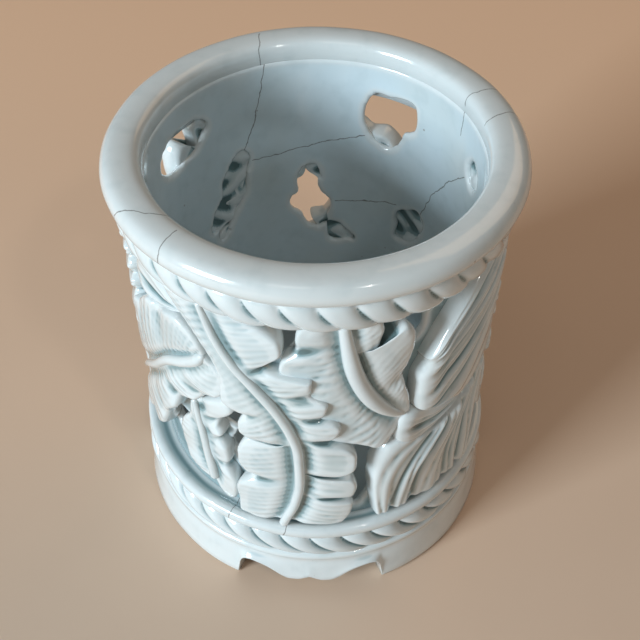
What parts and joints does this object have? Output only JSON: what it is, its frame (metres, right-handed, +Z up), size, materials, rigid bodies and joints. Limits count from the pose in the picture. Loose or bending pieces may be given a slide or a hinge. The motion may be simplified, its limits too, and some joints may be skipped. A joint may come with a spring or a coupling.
{
  "type": "brush holder pot",
  "caption": "Round porcelain brush pot with a thick rim, rope bands, an openwork wall of banana leaves in relief and a bracket foot.",
  "frame": {"origin": "centre of the foot's underside, at the level the pot stands on", "axes": "+Z up along the pot's axis, front of the pot faces -Y, +X to the viewer's right"},
  "size_m": [0.108, 0.108, 0.1253],
  "materials": {
    "celadon_glaze": "gloss",
    "foot_glaze": "gloss"
  },
  "bodies": {
    "root": {"foot_ring": "foot_glaze", "floor_slab": "celadon_glaze", "pierced_wall": "celadon_glaze", "lower_rope_band": "celadon_glaze", "bead_ring": "celadon_glaze", "upper_rope_band": "celadon_glaze", "rim_ring": "celadon_glaze", "arching_leaf_1_blade": "celadon_glaze", "arching_leaf_1_midrib": "celadon_glaze", "arching_leaf_2_blade": "celadon_glaze", "arching_leaf_2_midrib": "celadon_glaze", "arching_leaf_3_blade": "celadon_glaze", "arching_leaf_3_midrib": "celadon_glaze", "curled_leaf_1_blade": "celadon_glaze", "curled_leaf_1_midrib": "celadon_glaze", "curled_leaf_2_blade": "celadon_glaze", "curled_leaf_2_midrib": "celadon_glaze", "curled_leaf_3_blade": "celadon_glaze", "curled_leaf_3_midrib": "celadon_glaze", "draping_leaf_1_blade": "celadon_glaze", "draping_leaf_2_blade": "celadon_glaze", "draping_leaf_3_blade": "celadon_glaze", "fanned_leaf_1_blade": "celadon_glaze", "fanned_leaf_2_blade": "celadon_glaze", "tucked_leaf_1_blade": "celadon_glaze", "tucked_leaf_2_blade": "celadon_glaze", "upper_leaf_1_blade": "celadon_glaze", "spreading_leaf_1_blade": "celadon_glaze", "spreading_leaf_1_midrib": "celadon_glaze", "spreading_leaf_2_blade": "celadon_glaze", "spreading_leaf_2_midrib": "celadon_glaze", "young_leaf_1_blade": "celadon_glaze", "young_leaf_1_midrib": "celadon_glaze", "young_leaf_2_blade": "celadon_glaze", "young_leaf_2_midrib": "celadon_glaze", "young_leaf_3_blade": "celadon_glaze", "young_leaf_3_midrib": "celadon_glaze"}
  },
  "joints": []
}
